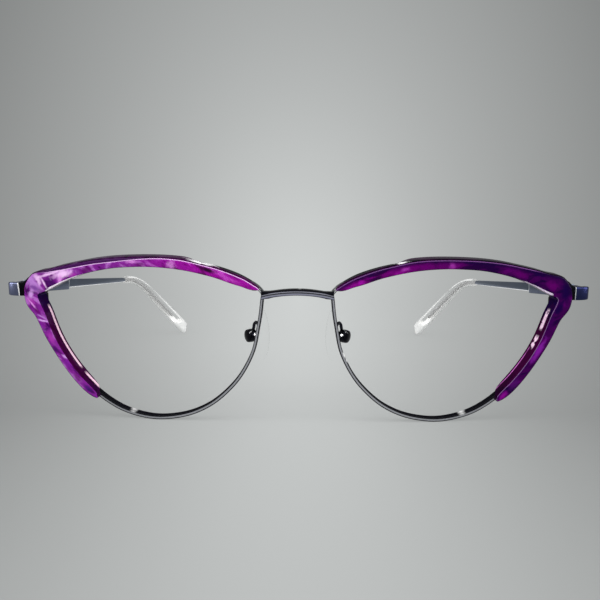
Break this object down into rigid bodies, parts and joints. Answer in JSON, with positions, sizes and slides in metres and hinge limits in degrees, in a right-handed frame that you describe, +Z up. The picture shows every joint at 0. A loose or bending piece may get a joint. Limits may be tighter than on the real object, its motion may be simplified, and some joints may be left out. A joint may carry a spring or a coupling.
{
  "type": "eyeglass frame",
  "caption": "Cat-eye eyeglass frame of dark metal wire with purple acetate brow trims, flat spring-hinged temples and clear tips, without lenses.",
  "frame": {"origin": "on the surface the open frame stands on, under the middle of its box", "axes": "+X towards the wearer's left temple, +Y from the front back along the temples, +Z up from the surface the eyewires and tips stand on"},
  "size_m": [0.1392, 0.1384, 0.0393],
  "materials": {
    "gunmetal": "dark gunmetal plating, glossy",
    "acetate": "polished marbled acetate, violet and magenta to indigo",
    "screw_steel": "bare stainless steel",
    "temple_metal": "blue-gray satin lacquer",
    "clear_plastic": "polished clear acetate",
    "clear_silicone": "clear soft silicone"
  },
  "bodies": {
    "front": {"bridge": "gunmetal", "right_eyewire": "gunmetal", "right_brow_trim": "acetate", "right_closing_block_upper": "gunmetal", "right_closing_block_lower": "gunmetal", "right_closing_screw": "screw_steel", "right_lug": "gunmetal", "right_front_knuckle": "gunmetal", "right_hinge_screw": "screw_steel", "right_pad_arm": "gunmetal", "right_pad_box": "gunmetal", "right_pad_screw": "screw_steel", "left_eyewire": "gunmetal", "left_brow_trim": "acetate", "left_closing_block_upper": "gunmetal", "left_closing_block_lower": "gunmetal", "left_closing_screw": "screw_steel", "left_lug": "gunmetal", "left_front_knuckle": "gunmetal", "left_hinge_screw": "screw_steel", "left_pad_arm": "gunmetal", "left_pad_box": "gunmetal", "left_pad_screw": "screw_steel"},
    "right_slider": {"right_hinge_slider": "screw_steel", "right_hinge_spring": "screw_steel"},
    "right_temple": {"right_spring_box": "temple_metal", "right_temple_blade": "temple_metal", "right_temple_tip": "clear_plastic"},
    "right_pad": {"right_nose_pad": "clear_silicone"},
    "left_slider": {"left_hinge_slider": "screw_steel", "left_hinge_spring": "screw_steel"},
    "left_temple": {"left_spring_box": "temple_metal", "left_temple_blade": "temple_metal", "left_temple_tip": "clear_plastic"},
    "left_pad": {"left_nose_pad": "clear_silicone"}
  },
  "joints": [
    {"name": "right_temple_fold", "type": "hinge", "parent": "front", "child": "right_slider", "pos_m": [-0.0659, -0.0496, 0.03019], "axis": [0, -0.0703, -0.9975], "range_deg": [0, 81]},
    {"name": "right_spring_slide", "type": "slide", "parent": "right_slider", "child": "right_temple", "axis": [0.1564, 0.9852, -0.0695], "range_m": [0, 0.0012], "stiffness_N_per_m": 300, "springref_m": -0.002, "deforming": ["right_hinge_spring"]},
    {"name": "right_pad_rock", "type": "hinge", "parent": "front", "child": "right_pad", "pos_m": [-0.01062, -0.06093, 0.02019], "axis": [0.5736, -0.8146, -0.0866], "range_deg": [-6, 6]},
    {"name": "left_temple_fold", "type": "hinge", "parent": "front", "child": "left_slider", "pos_m": [0.0659, -0.0496, 0.03019], "axis": [0, 0.0703, 0.9975], "range_deg": [0, 77]},
    {"name": "left_spring_slide", "type": "slide", "parent": "left_slider", "child": "left_temple", "axis": [-0.1564, 0.9852, -0.0695], "range_m": [0, 0.0012], "stiffness_N_per_m": 300, "springref_m": -0.002, "deforming": ["left_hinge_spring"]},
    {"name": "left_pad_rock", "type": "hinge", "parent": "front", "child": "left_pad", "pos_m": [0.01062, -0.06093, 0.02019], "axis": [0.5736, 0.8146, 0.0866], "range_deg": [-6, 6]}
  ]
}
